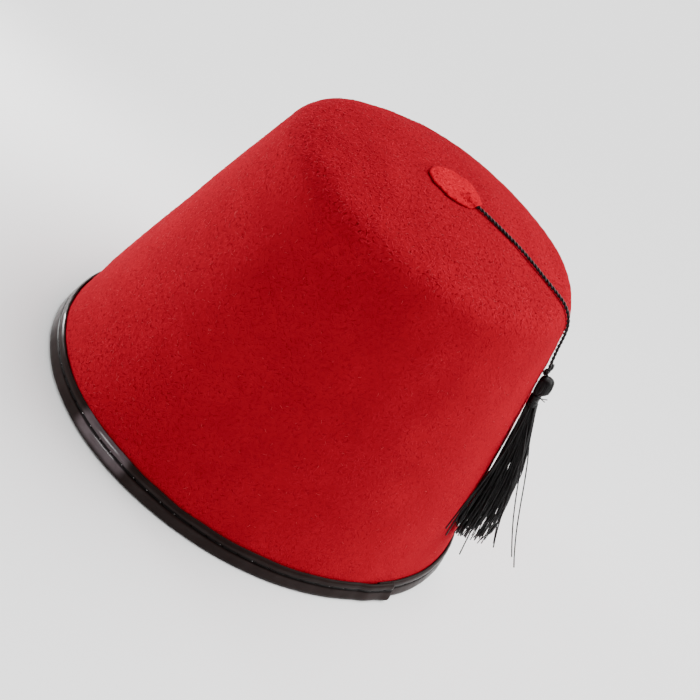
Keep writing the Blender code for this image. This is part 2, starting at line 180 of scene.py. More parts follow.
def waves(points, table, seed):
    """A gentle relief: a sum of sine waves that run through space in random directions."""
    chance = np.random.default_rng(seed)
    height = np.zeros(points.shape[:-1])
    for length, rise, count in table:
        for heading in unit(chance.normal(size=(count, 3))):
            turn = chance.uniform(0.0, 2 * np.pi)
            height += np.sin(points @ heading * (2 * np.pi / length) + turn) * rise / count ** 0.5
    return height


def grid_faces(rows, columns):
    """Four corner numbers for each face of a grid whose rows close on themselves."""
    i = np.arange(rows - 1)[:, None]
    j = np.arange(columns)[None, :]
    beside = (j + 1) % columns
    corners = (i * columns + j, i * columns + beside, (i + 1) * columns + beside, (i + 1) * columns + j)
    return np.stack(np.broadcast_arrays(*corners), axis=-1).reshape(-1, 4)


def end_fans(rows, columns):
    """Fans that close such a grid's first and last row, about the two points that follow it."""
    here = np.arange(columns)
    beside = (here + 1) % columns
    last = (rows - 1) * columns
    return [np.stack([beside, here, np.full_like(here, rows * columns)], axis=-1),
            np.stack([last + here, last + beside, np.full_like(here, rows * columns + 1)], axis=-1)]


def make_piece(name, surface, slot, finish, *nodes):
    """A closed surface as one named piece on the hat, in place of the nodes given. The surface
    is its points and a list of arrays of corner numbers, which are all turned if they enclose
    less than nothing."""
    points, faces = surface
    volume = 0.0
    for rows in faces:
        for k in range(1, rows.shape[1] - 1):
            a, b, c = (points[rows[:, n]] for n in (0, k, k + 1))
            volume += (np.cross(a, b) * c).sum()
    mesh = bpy.data.meshes.new(name)
    outward = [rows if volume > 0 else rows[:, ::-1] for rows in faces]
    mesh.from_pydata(points.tolist(), [], [face for rows in outward for face in rows.tolist()])
    mesh.shade_smooth()
    piece = add(name, mesh)
    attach(piece, "root")
    if nodes:
        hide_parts(*nodes)
    mesh.materials.append(finish)
    return piece


def tubes(paths, radius, sides, up=UP):
    """Closed round tubes of one size along many paths of equal length: at each point a circle
    square to the path, whose radius may change along it, with a fan at both ends."""
    paths = np.asarray(paths, float)
    count, length = paths.shape[:2]
    radius = np.broadcast_to(radius, (count, length))[..., None, None]
    ahead = unit(np.gradient(paths, axis=1))
    beside = unit(np.cross(ahead, np.broadcast_to(up, paths.shape)))
    above = np.cross(beside, ahead)
    ring = paths[:, :, None] + radius * turned(beside[:, :, None], above[:, :, None], once_round(sides))
    body = ring.reshape(-1, 3)
    tips = paths[:, [0, -1]].reshape(-1, 3)
    one = grid_faces(length, sides)
    skin = (one[None] + (np.arange(count) * length * sides)[:, None, None]).reshape(-1, 4)
    here = np.arange(sides)
    fans = []
    for end, turn in ((0, (1, 0)), (1, (0, 1))):
        base = (np.arange(count) * length + end * (length - 1))[:, None] * sides
        corners = [base + here, base + (here + 1) % sides]
        tip = np.broadcast_to(len(body) + np.arange(count)[:, None] * 2 + end, (count, sides))
        fans.append(np.stack([corners[turn[0]], corners[turn[1]], tip], axis=-1).reshape(-1, 3))
    return np.vstack([body, tips]), [skin] + fans


def crown_surface():
    """The shell in one closed skin: from the inside's middle down to the cut edge, and up the
    outside to the top's middle. The inside is the outside moved in by the felt's thickness,
    and the outside carries the relief of hand-pressed felt."""
    angle = once_round(CROWN_AROUND)[None, :]
    outside = np.concatenate([
        np.linspace(0.0, RIM_SHARE, RIM_ROWS, endpoint=False),
        np.linspace(RIM_SHARE, 1.0, WALL_ROWS, endpoint=False),
        np.linspace(1.0, 2.0, SHOULDER_ROWS, endpoint=False),
        np.linspace(2.0, 3.0, TOP_ROWS, endpoint=False),
    ])[:, None]
    inside = np.linspace(3.0, 0.0, INSIDE_ROWS + 1)[1:, None]
    point, out, _ = crown_frame(angle, inside)
    sewn = ease((SQUEEZE_HEIGHT - point[..., 2]) / SQUEEZE_RAMP)
    inner = point - out * (FELT - SQUEEZE * sewn)[..., None]
    point, out, _ = crown_frame(angle, outside)
    sewn = ease((SQUEEZE_HEIGHT - point[..., 2]) / SQUEEZE_RAMP)
    relief = waves(point, FELT_WAVES, FELT_SEED) * (1.0 - sewn)
    outer = point + out * (relief - SQUEEZE * sewn)[..., None]
    skin = np.concatenate([inner, outer])
    middle = crown_point(0.0, 3.0)
    points = np.vstack([skin.reshape(-1, 3), middle - UP * FELT, middle])
    return points, [grid_faces(len(skin), CROWN_AROUND), *end_fans(len(skin), CROWN_AROUND)]


class Shade:
    """A socket of a material that can be reckoned with: an expression on values adds its
    Math nodes, and node() adds any other node."""

    def __init__(self, socket):
        self.socket = socket

    def node(self, kind, sockets, output=0, **settings):
        """Adds a node. Its settings are set first, then its sockets."""
        made = self.socket.id_data.nodes.new(kind)
        for name, value in settings.items():
            setattr(made, name, value)
        plug(made, sockets)
        return Shade(made.outputs[output])

    def other(self, output):
        """Another output of the same node."""
        return Shade(self.socket.node.outputs[output])

    def math(self, operation, *values):
        """Adds a Math node."""
        return self.node("ShaderNodeMath", dict(enumerate(values)), operation=operation)

    def __add__(self, other):
        return self.math("ADD", self, other)

    def __sub__(self, other):
        return self.math("SUBTRACT", self, other)

    def __rsub__(self, other):
        return self.math("SUBTRACT", other, self)

    def __mul__(self, other):
        return self.math("MULTIPLY", self, other)

    def __abs__(self):
        return self.math("ABSOLUTE", self)

    __radd__ = __add__
    __rmul__ = __mul__


def plug(node, sockets):
    """Sets a node's sockets, by name or number, to values or links."""
    for name, value in sockets.items():
        if isinstance(value, Shade):
            node.id_data.links.new(value.socket, node.inputs[name])
        else:
            node.inputs[name].default_value = value


def new_finish(name):
    """A material, its Principled shader and the place on the object."""
    material = bpy.data.materials.new(name)
    material.use_nodes = True
    nodes = material.node_tree.nodes
    return material, nodes["Principled BSDF"], Shade(nodes.new("ShaderNodeTexCoord").outputs["Object"])


def vector(operation, a, b=(0.0, 0.0, 0.0), output=0):
    """A sum on two vectors."""
    return a.node("ShaderNodeVectorMath", {0: a, 1: b}, output=output, operation=operation)


def dot(a, b):
    """How far one vector reaches along another."""
    return vector("DOT_PRODUCT", a, b, output="Value")


def step(value, low, high):
    """0 below low, 1 above high, eased between; turned round where low is the larger."""
    return value.node("ShaderNodeMapRange", {"Value": value, "From Min": low, "From Max": high},
                      interpolation_type="SMOOTHSTEP")


def mix(share, a, b):
    """Colour a where the share is 0, colour b where it is 1."""
    ends = [end if isinstance(end, Shade) else (*end, 1.0) for end in (a, b)]
    return share.node("ShaderNodeMix", {0: share, 6: ends[0], 7: ends[1]}, output=2, data_type="RGBA")


def noise(place, size, detail=2.0, rough=0.5):
    """Soft noise whose spots are about a size across."""
    return place.node("ShaderNodeTexNoise", {"Vector": place, "Scale": 1.0 / size,
                                             "Detail": detail, "Roughness": rough})


def bump(height, distance, strength=1.0):
    """A surface raised by a height of 0 to 1 times a distance."""
    return height.node("ShaderNodeBump", {"Height": height, "Distance": distance, "Strength": strength})


def fibres(place, normal, cell, length, width, shift):
    """Short fibres, one for each cell of a scatter of points: each runs through its point in
    a random direction along the surface, and shows where the place is near that line. Some
    are strong and some faint."""
    moved = vector("ADD", place, shift)
    found = moved.node("ShaderNodeTexVoronoi", {"Vector": moved, "Scale": 1.0 / cell}, output="Color")
    random = vector("SUBTRACT", found, (0.5, 0.5, 0.5))
    heading = vector("NORMALIZE", vector("CROSS_PRODUCT", normal, random))
    toward = vector("SUBTRACT", moved, found.other("Position"))
    beside = dot(toward, vector("CROSS_PRODUCT", normal, heading))
    along = dot(toward, heading)
    strength = step(dot(found, (0.6, 0.5, 0.4)), 0.35, 1.05)
    return step(abs(beside), width, width * 0.25) * step(abs(along), length, length * 0.5) * strength


def scattered(place, normal, table):
    """The fibres of all the sizes in a table, added up."""
    total = fibres(place, normal, *table[0])
    for row in table[1:]:
        total = total + fibres(place, normal, *row)
    return total


PALE_FIBRES = (
    # cell of the scatter, half length, half width, shift of the scatter
    (0.0018, 0.0008, 0.00021, (0.0, 0.0, 0.0)),
    (0.0023, 0.0010, 0.00020, (0.031, 0.017, 0.005)),
    (0.0033, 0.0013, 0.00023, (0.011, 0.047, 0.023)),
)
DEEP_FIBRES = (
    (0.0020, 0.0008, 0.00023, (0.007, 0.041, 0.013)),
    (0.0026, 0.0010, 0.00025, (0.019, 0.003, 0.029)),
)
FIBRE_SWAY = 0.0009                        # how far the painted fibres wander off straight
BRUSHED_SIDE = (-0.616, -0.788, 0.0)       # direction of the side where the felt is fuzzier
BRUSHED_REACH = (0.030, 0.068)             # how far out along it that begins and is full


def felt_finish(name, colour, light, dark, even):
    """Pressed felt: mottled dye, with paler and darker loose fibres that also stand up. Where
    even is 0 they show in patches, on what faces up and on the side that was brushed."""
    material, shader, place = new_finish(name)
    normal = place.other("Normal")
    sway = vector("SUBTRACT", noise(place, 0.0030).other("Color"), (0.5, 0.5, 0.5))
    bent = vector("ADD", place, vector("MULTIPLY", sway, (FIBRE_SWAY, FIBRE_SWAY, FIBRE_SWAY)))
    pale = scattered(bent, normal, PALE_FIBRES)
    deep = scattered(bent, normal, DEEP_FIBRES)
    level = step(dot(normal, (0.0, 0.0, 1.0)), 0.35, 0.85)
    brushed = step(dot(place, BRUSHED_SIDE), *BRUSHED_REACH)
    patch = step(noise(place, 0.014, 3.0), 0.38, 0.70) * 0.30 + 0.08
    patch = patch + level * 0.62 + brushed * 0.45 + even
    cloud = noise(place, 0.0280, 3.0)
    grain = noise(place, 0.0011, 3.0, 0.65)
    base = mix(step(cloud, 0.3, 0.7), [c * 0.95 for c in colour], [c * 1.05 for c in colour])
    base = mix(step(grain, 0.35, 0.80) * (patch * 0.14 + 0.05), base, light)
    base = mix(step(grain, 0.52, 0.18) * (patch * 0.22 + 0.05), base, dark)
    base = mix(deep * patch * 0.80, base, dark)
    base = mix(pale * patch * 0.62, base, light)
    height = grain * 0.6 + (pale - deep) * (patch * 0.2 + 0.55)
    plug(shader, {"Base Color": base, "Roughness": 0.96, "Specular IOR Level": 0.01,
                  "Sheen Weight": 0.08, "Sheen Roughness": 0.35, "Sheen Tint": (1.0, 0.05, 0.09, 1.0),
                  "Normal": bump(height, 0.00036, 0.85)})
    return material


FELT_RED = (0.237, 0.0030, 0.0098)
FELT_PALE = (0.500, 0.0120, 0.0300)
FELT_DEEP = (0.085, 0.0004, 0.0020)

red_felt = felt_finish("red felt", FELT_RED, FELT_PALE, FELT_DEEP, 0.0)
make_piece("felt_crown", crown_surface(), "red_felt", red_felt, "crown")


# Loose fibres: short ends of the red wool that the pressing has left lying on the felt, paler
# than it where the light catches them. They are caught in the felt at both ends.
FIBRES = 6200                  # places tried
FIBRE = 0.000055               # radius
FIBRE_LENGTHS = (0.0007, 0.0018)
FIBRE_ARCHES = (0.00004, 0.00028)
FIBRE_BENDS = (-0.35, 0.35)    # sideways, as a share of the length
FIBRE_POINTS = 5
LOWEST_FIBRE = 0.085           # just over the binding, as crown_point counts
HIGHEST_FIBRE = 2.97
FIBRES_KEPT = (0.14, 0.80, 0.50)   # share kept anywhere, added on the brushed side and on the top
FIBRE_PALE = (0.62, 0.045, 0.060)
FIBRE_SEED = 31


def loose_fibres():
    """Places are spread evenly over the felt, and most are kept on the brushed side, some two
    thirds on the top and few elsewhere. Each fibre lies in a random direction, and is a parabola both
    sideways and upwards, with its ends just under the surface."""
    chance = np.random.default_rng(FIBRE_SEED)
    rows = np.linspace(LOWEST_FIBRE, HIGHEST_FIBRE, 400)
    line = crown_point(0.0, rows)
    girth = np.linalg.norm(line[1:, :2] - TOP_CENTRE[:2], axis=-1)
    covered = np.append(0.0, np.cumsum(girth * np.linalg.norm(np.diff(line, axis=0), axis=-1)))
    t = np.interp(chance.uniform(0.0, covered[-1], FIBRES), covered, rows)
    point, out, down = crown_frame(chance.uniform(0.0, 2 * np.pi, FIBRES), t)
    point = point + out * (waves(point, FELT_WAVES, FELT_SEED) - FIBRE)[:, None]
    brushed = ease((point @ BRUSHED_SIDE - BRUSHED_REACH[0]) / (BRUSHED_REACH[1] - BRUSHED_REACH[0]))
    anywhere, on_side, on_top = FIBRES_KEPT
    kept = chance.random(FIBRES) < anywhere + on_side * brushed + on_top * (t > 1.6)
    point, out, down = point[kept], out[kept], down[kept]
    turn, length, arch, bend = (chance.uniform(*ends, (len(point), 1, 1)) for ends in (
        (0.0, 2 * np.pi), FIBRE_LENGTHS, FIBRE_ARCHES, FIBRE_BENDS))
    out, down = out[:, None], down[:, None]
    ahead = down * np.cos(turn) + np.cross(out, down) * np.sin(turn)
    u = np.linspace(-1.0, 1.0, FIBRE_POINTS)[None, :, None]
    path = point[:, None] + ahead * length * u / 2
    path = path + np.cross(out, ahead) * bend * length * (u ** 2 - 1) / 2 + out * arch * (1 - u ** 2)
    return tubes(path, FIBRE, 3, up=out)


def fibre_finish():
    """Dyed wool fibres, some redder and some paler."""
    material, shader, place = new_finish("loose red fibres")
    plug(shader, {"Base Color": mix(noise(place, 0.0030), FELT_RED, FIBRE_PALE), "Roughness": 0.75,
                  "Specular IOR Level": 0.15, "Normal": bump(noise(place, 0.0002), 0.00002, 0.5)})
    return material


make_piece("crown_fibres", loose_fibres(), "red_felt", fibre_finish())


# The rim's binding: one strip of glossy soft black tape, folded over the felt's cut edge and
# sewn through. It starts hidden, goes once round, and its slanted cut end lies over the start.
TAPE = 0.0007                  # thickness
TAPE_HEIGHT = 0.0085
TAPE_PROUD = 0.0005            # room that the folded tape keeps from the felt beside the seam
TAPE_TUCK = 0.00045            # how far its edge turns in to the felt
FOLD_HEIGHT = 0.09             # of the round fold, as a share of the tape's height
TAPE_CLEAR = 0.00005           # room between tape and the felt that it presses in
TAPE_AROUND = 1160             # steps along the strip
TAPE_STARTS = 10.0             # azimuth of the hidden end, in degrees
TAPE_ENDS = 375.1              # azimuth of the cut end that shows, one turn on
START_RISE = 0.0005            # how much higher the fold of the hidden start is kept
START_CLEAR = 0.3              # degrees past the cut end where that stays full
START_RAMP = 6.0               # degrees over which it fades
LAP_STEP = 0.00081             # how far the strip rises to lie over itself
LAP_LENGTH = 6.8               # degrees over which it does
LAP_RAMP = 5.0                 # degrees over which it comes up
LAP_CORNER = 0.0017            # how much of the cut end's lower corner is snipped off
LAP_CORNER_HEIGHT = 0.24       # up to which share of the tape's height
LAP_CORNER_FROM = 0.985        # from which share of the strip's way the steps draw back for it
LAP_FLICK = 0.0012             # how far that corner stands off
LAP_FLICK_LENGTH = 4.0         # degrees over which it does
STITCHES = 87
STITCH_LINE = 0.65             # height of the seam, as a share of the tape's
SEAM_PULL = 0.00042            # how deep the seam draws the tape in
SEAM_WIDTH = 0.040             # as a share of the height
HOLE_PULL = 0.00028            # how much deeper at a hole
HOLE_LENGTH = 0.16             # as seam_phase counts
TUCK_FROM = 0.88               # share of the height where the edge starts to turn in
FOLD_PART = 0.25               # share of the height over which the fold is kept off the floor
FLOOR_CLEAR = 0.00005
PUFF = 0.00016                 # how full the tape stands between seam and edges
TAPE_WAVES = ((0.0800, 0.00008, 5), (0.0200, 0.00006, 6), (0.0068, 0.00003, 8))
EDGE_WAVES = ((0.0500, 0.00024, 4), (0.0150, 0.00012, 6))
EDGE_REACH = 0.09              # radius of the circle along which those run
TAPE_SEED = 23
EDGE_SEED = 29
TAPE_EDGE = (0.0, 0.06, 0.2, 0.45, 0.8)        # steps in from its edge, as shares of the thickness
TAPE_LEAF = (0.85, 0.78, 0.73, 0.70, 0.675, 0.65, 0.625, 0.60, 0.57, 0.50, 0.38, 0.26, 0.16)
GLOSSY_PART = ((-0.0523, -0.0799, 0.0043), 0.034, 0.014)   # middle, where it ends, where it is full
# A paler stretch on the tape's front: a painted reflection, with more coat as well.
PAINTED_REFLECTION_PART = ((0.0312, -0.0917, 0.0043), 0.0165, 0.0115)
TAPE_BLACK = (0.0080, 0.0042, 0.0038)
TAPE_BROWN = (0.0170, 0.0100, 0.0090)
# The colour of that painted reflection.
TAPE_PAINTED_REFLECTION = (0.090, 0.066, 0.073)
# Painted shade: the dark colour put along the seam's groove.
TAPE_GROOVE_SHADE = (0.0015, 0.0008, 0.0008)
GROOVE_SHADE_WIDTHS = (0.0009, 0.0003)               # from its middle: where its painted shade ends and is full
LIP_HEIGHTS = (0.0074, 0.0082)                 # where the dull top edge begins and is full
# Heights over which the painted reflection comes in and is full.
PAINTED_REFLECTION_HEIGHTS = (0.0006, 0.0030)


def tape_line(side, share, azimuth):
    """The middle of the tape at a share of its height, on the felt's outside (side +1) or
    inside (-1), and the level direction out of the wall there."""
    angle = np.radians(azimuth)
    level = unit(np.stack([np.cos(angle) / RIM_WIDTH, np.sin(angle) / RIM_LENGTH,
                           np.zeros_like(angle)], axis=-1))
    foot = wall_point(angle, share * TAPE_HEIGHT)
    lean = unit(wall_point(angle, TAPE_HEIGHT) - wall_point(angle, 0.0 * angle))[..., 2:]
    away = TAPE_CLEAR + TAPE / 2 + TAPE_PROUD
    return foot + level * np.where(side > 0, away, -away - FELT / lean), level


def seam_phase(azimuth):
    """0 at a stitch hole, 1 halfway between two."""
    return np.abs(np.sin(np.radians(azimuth) * STITCHES / 2))


def tape_shaped(side, share, azimuth):
    """The middle of the sewn tape. side goes from -1 inside to +1 outside round the fold. The
    plain line is drawn in at the seam, most at the holes, stands fuller between seam and
    edges, waves slowly along the rim, rises where the strip lies over itself, and stands off
    at the cut end's lower corner."""
    outer, level = tape_line(1, share + 0.0 * azimuth, azimuth)
    inner, _ = tape_line(-1, share + 0.0 * azimuth, azimuth)
    blend = (side + 1.0) / 2.0 + 0.0 * azimuth
    middle = inner + (outer - inner) * blend[..., None]
    phase = seam_phase(azimuth)
    seam = np.exp(-((share - STITCH_LINE) / SEAM_WIDTH) ** 2)
    hole = np.exp(-(phase / HOLE_LENGTH) ** 2)
    lobe = np.where(share > STITCH_LINE, (1.0 - share) / (1.0 - STITCH_LINE), share / STITCH_LINE)
    away = PUFF * np.sin(np.pi * lobe) * (0.80 + 0.30 * phase) - seam * (SEAM_PULL + HOLE_PULL * hole)
    away = away - TAPE_TUCK * ease((share - TUCK_FROM) / (1.0 - TUCK_FROM))
    over = ease((azimuth - (TAPE_ENDS - LAP_LENGTH - LAP_RAMP)) / LAP_RAMP)
    under = 1.0 - ease((azimuth - (TAPE_ENDS - 360.0) - START_CLEAR) / START_RAMP)
    lift = waves(middle, TAPE_WAVES, TAPE_SEED)
    lift = lift + LAP_FLICK * (1.0 - share) * ease((azimuth - TAPE_ENDS) / LAP_FLICK_LENGTH + 1.0)
    away = (away + over * LAP_STEP + lift) * np.sign(side) * (1.0 - np.sin(np.pi * blend))
    rise = waves(level * EDGE_REACH, EDGE_WAVES, EDGE_SEED) * ease(share)
    low = np.clip(1.0 - share / FOLD_PART, 0.0, 1.0)
    rise = rise + low * (TAPE / 2 + FLOOR_CLEAR + START_RISE * under)
    return middle + level * away[..., None] + UP * rise[..., None], level


def tape_surface():
    """The folded section carried round the rim. Along the section the tape runs from its
    inner top edge down round the fold and up to its outer top edge; across it has two faces a
    thickness apart that close in at both edges."""
    leaf = np.concatenate([1.0 - np.array(TAPE_EDGE) * TAPE / TAPE_HEIGHT, TAPE_LEAF])
    fold = np.linspace(0.0, np.pi, 7)[1:-1]
    side = np.concatenate([-np.ones(len(leaf)), -np.cos(fold), np.ones(len(leaf))])[:, None]
    share = np.concatenate([leaf, FOLD_HEIGHT * (1.0 - np.sin(fold)), leaf[::-1]])[:, None]
    along = np.linspace(0.0, 1.0, TAPE_AROUND)[None, :]
    azimuth = TAPE_STARTS + (TAPE_ENDS - TAPE_STARTS) * along
    snip = np.degrees(LAP_CORNER / (RIM_WIDTH / 2)) * np.clip(1.0 - share / LAP_CORNER_HEIGHT, 0.0, 1.0)
    azimuth = azimuth - snip * ease((along - LAP_CORNER_FROM) / (1.0 - LAP_CORNER_FROM))
    middle, _ = tape_shaped(side, share, azimuth)
    walked = np.concatenate([[0.0], np.cumsum(np.linalg.norm(np.diff(middle[:, 0], axis=0), axis=-1))])
    near = np.minimum(walked, walked[-1] - walked)[:, None] / (TAPE / 2)
    half = TAPE / 2 * np.sqrt(np.clip(1.0 - (1.0 - np.minimum(near, 1.0)) ** 2, 0.0, 1.0))
    face = unit(np.cross(np.gradient(middle, axis=0), np.gradient(middle, axis=1)))
    ring = np.concatenate([middle + face * half[..., None],
                           (middle - face * half[..., None])[-2:0:-1]]).transpose(1, 0, 2)
    count = ring.shape[1]
    points = np.vstack([ring.reshape(-1, 3), ring[[0, -1]].mean(axis=1)])
    return points, [grid_faces(TAPE_AROUND, count), *end_fans(TAPE_AROUND, count)]


def tape_finish():
    """Soft vinyl: near black, with a fine grain and a gloss that comes and goes. It is glossier
    round the left end, painted paler on a short stretch of the front as a painted reflection,
    with more gloss there, and dull along its top edge and in the groove of the seam, which is
    also darkened by painted shade."""
    material, shader, place = new_finish("black tape")
    grain = noise(place, 0.0007, 3.0, 0.6)
    smear = noise(place, 0.0090, 3.0, 0.6)
    glossy, painted_reflection = (step(vector("DISTANCE", place, middle, output="Value"), far, near)
                      for middle, far, near in (GLOSSY_PART, PAINTED_REFLECTION_PART))
    height = dot(place, (0.0, 0.0, 1.0))
    # The painted reflection: the base is mixed paler over this stretch, and it gets more coat.
    painted_reflection = painted_reflection * step(height, *PAINTED_REFLECTION_HEIGHTS) * (smear * 0.9 + 0.3)
    base = mix(smear, TAPE_BLACK, TAPE_BROWN)
    base = mix(painted_reflection, base, TAPE_PAINTED_REFLECTION)
    # The seam's groove is darkened with painted shade, and its coat is taken down.
    groove = step(abs(height - STITCH_LINE * TAPE_HEIGHT), *GROOVE_SHADE_WIDTHS)
    base = mix(groove * 0.8, base, TAPE_GROOVE_SHADE)
    lip = step(height, *LIP_HEIGHTS)
    coat = smear * 0.22 * (1.0 - lip) + glossy * 0.55 + painted_reflection * 0.3
    plug(shader, {"Base Color": base, "Roughness": smear * 0.22 + 0.20, "Specular IOR Level": 0.02,
                  "Coat Weight": coat * (1.0 - groove * 0.85), "Coat Roughness": 0.15,
                  "Normal": bump(grain * 0.3 + smear, 0.00014, 0.6)})
    return material


make_piece("rim_tape", tape_surface(), "black_tape", tape_finish(), "rim_binding")


# The binding's seam: one row of machine stitches in black thread, which lie in the groove
# that they draw into the tape, outside and inside, and dive into a hole at each end.
THREAD = 0.00025               # radius of the sewing thread
THREAD_SIDES = 6
STITCH_POINTS = 13
STITCH_SUNK = 0.00060          # how deep a stitch's ends lie
SEWING_BLACK = (0.0016, 0.0012, 0.0012)
# Pale grey for the painted glints on some stitch ends.
PAINTED_GLINT_GREY = (0.30, 0.28, 0.28)
STITCH_SEED = 37


def thread_finish(name, colour, rough, shine):
    """Shiny twisted thread: dark, with slanting plies and a few paler specks."""
    material, shader, place = new_finish(name)
    speck = step(noise(place, 0.0006, 2.0), 0.55, 0.75)
    plug(shader, {"Base Color": mix(speck, colour, [c * 3 for c in colour]), "Roughness": rough,
                  "Specular IOR Level": shine, "Normal": bump(noise(place, 0.0003, 2.0), 0.0001, 0.6)})
    return material


def seam_stitches():
    """Each stitch runs from hole to hole on the seam's groove, and its ends sink into the
    tape. On the lap it lies on the upper layer."""
    pitch = 360.0 / STITCHES
    along = np.linspace(0.05, 0.95, STITCH_POINTS)[None, :]
    azimuth = (np.arange(STITCHES)[:, None] + along) * pitch
    azimuth = azimuth + 360.0 * (azimuth < TAPE_ENDS - 360.0)
    sunk = STITCH_SUNK * (1.0 - ease(np.sin(np.pi * along) * 2.5))
    paths = []
    for side in (1, -1):
        middle, level = tape_shaped(side, STITCH_LINE, azimuth)
        away = TAPE / 2 + THREAD * 0.55 - sunk
        paths.append(middle + level * side * (away + 0.0 * azimuth)[..., None])
    return tubes(np.concatenate(paths), THREAD, THREAD_SIDES)


stitches = make_piece("binding_stitches", seam_stitches(), "black_tape",
                      thread_finish("sewing thread", SEWING_BLACK, 0.5, 0.1))
# About half of the stitches get a pale grey end where they dive into a hole: painted glints.
stitches.data.materials.append(thread_finish("thread with painted glints", PAINTED_GLINT_GREY, 0.4, 0.5))
stitch_rows = STITCH_POINTS - 1
side_faces = np.arange(2 * STITCHES * stitch_rows * THREAD_SIDES)
in_stitch = side_faces % (stitch_rows * THREAD_SIDES) // THREAD_SIDES
of_stitch = side_faces // (stitch_rows * THREAD_SIDES)
some = np.random.default_rng(STITCH_SEED).random(2 * STITCHES) < 0.5
finish_number = np.zeros(len(stitches.data.polygons), int)
finish_number[:len(in_stitch)] = (in_stitch == stitch_rows - 1) & some[of_stitch]
stitches.data.polygons.foreach_set("material_index", finish_number)


# The tassel's skirt: a fold of shiny black rayon threads tied at the neck. The threads fall
# in loose locks, spread as they go down, and end in an uneven cut, with a few strays.
TASSEL_AZIMUTH = 38.5
KNOT_RUN = 0.0876              # from the top's centre over the felt, to the knot
KNOT_LENGTH = 0.0026
KNOT_WIDTH = 0.0030
HEAD_LENGTH = 0.0080
HEAD_WIDTH = 0.0066
NECK_LENGTH = 0.0057
NECK_WIDTH = 0.0042
SKIRT_LENGTH = 0.0620
SKIRT_WIDTH = 0.0180
TASSEL_GAP = 0.0003            # between one piece of the tassel and the next
HEAD_RUN = KNOT_RUN + KNOT_LENGTH + TASSEL_GAP
NECK_RUN = HEAD_RUN + HEAD_LENGTH + TASSEL_GAP
SKIRT_RUN = NECK_RUN + NECK_LENGTH + TASSEL_GAP
LOCK_RADIUS = 0.0011           # of a lock at its middle
STRAND = 0.00024               # radius of one thread
STRAND_SIDES = 5
STRAND_POINTS = 20
STRANDS = 15                   # in each lock
LOCKS = (
    # start and end across neck and skirt, how far its tip stands off the felt, length, size
    (-0.75, -1.00, 0.0010, 0.90, 0.70),
    (-0.62, -0.74, 0.0036, 0.97, 0.90),
    (-0.45, -0.47, 0.0066, 0.95, 1.00),
    (-0.30, -0.36, 0.0020, 1.00, 1.10),
    (-0.12, -0.16, 0.0096, 0.99, 1.00),
    (0.00, -0.02, 0.0050, 0.96, 1.10),
    (0.18, 0.14, 0.0118, 0.97, 0.85),
    (0.34, 0.34, 0.0028, 0.98, 1.10),
    (0.46, 0.50, 0.0080, 0.94, 0.95),
    (0.62, 0.72, 0.0056, 0.96, 0.85),
    (0.78, 1.00, 0.0010, 0.91, 0.70),
)
FURTHEST = max(row[2] for row in LOCKS)
LOOSE = 46                     # threads that keep to no lock
LOOSE_LIFTS = (0.0, 0.0125)
LOOSE_LENGTHS = (0.84, 1.03)
STRAYS = (
    # start and end across, how far the tip stands off, length as a share of the skirt's, bow
    (-0.70, -1.45, 0.0012, 1.02, -0.0020),
    (-0.60, -1.25, 0.0100, 1.06, 0.0016),
    (-0.35, -0.60, 0.0190, 0.94, 0.0022),
    (-0.10, -0.30, 0.0260, 1.00, -0.0018),
    (0.20, 0.25, 0.0290, 1.08, 0.0024),
    (0.40, 0.50, 0.0165, 1.08, -0.0014),
    (0.60, 1.20, 0.0130, 1.04, 0.0026),
    (0.70, 1.55, 0.0020, 0.96, 0.0018),
    (0.75, 1.35, 0.0010, 1.10, -0.0022),
    (-0.72, -1.60, 0.0008, 0.94, 0.0012),
)
STRAY = 0.00029                # radius of a stray thread
LOCK_ROOT = 0.030              # how far up in the neck a lock begins, as a share of the skirt
STRAY_ROOT = 0.02
THREAD_CLEAR = 0.0001          # room between a thread and the felt
TASSEL_BLACK = (0.0025, 0.0019, 0.0020)
SWAYS = ((0.034, 0.00060), (0.013, 0.00016))   # how long a wave is and how far it goes
LINE_STEPS = 181               # of the line down the felt that felt_frame walks
SKIRT_SEED = 41


def felt_frame(azimuth, run):
    """Points at a distance walked from the top's centre over the felt, down the line at each
    azimuth, with the outward, downward and sideward directions there."""
    azimuth, run = np.broadcast_arrays(np.asarray(azimuth, float), np.asarray(run, float))
    angle = np.radians(azimuth)
    t = np.linspace(3.0, 0.0, LINE_STEPS)
    line = crown_point(angle[..., None], t)
    steps = np.linalg.norm(np.diff(line, axis=-2), axis=-1)
    walked = np.concatenate([np.zeros(run.shape + (1,)), np.cumsum(steps, axis=-1)], axis=-1)
    after = np.clip((walked < run[..., None]).sum(axis=-1), 1, LINE_STEPS - 1)[..., None]
    far, near = (np.take_along_axis(walked, after - k, -1)[..., 0] for k in (0, 1))
    share = (run - near) / (far - near)
    t_here = t[after[..., 0] - 1] + (t[1] - t[0]) * share
    point, out, down = crown_frame(angle, t_here)
    return point, out, down, np.cross(out, down)


def hung(run, across, lift):
    """Points on the tassel: at a run, a distance across from its middle, and lifted."""
    reach = np.linalg.norm(felt_frame(TASSEL_AZIMUTH, np.ravel(run)[:1])[0][..., :2])
    point, out, _, _ = felt_frame(TASSEL_AZIMUTH + np.degrees(across / reach), run)
    return point + out * np.asarray(lift)[..., None]


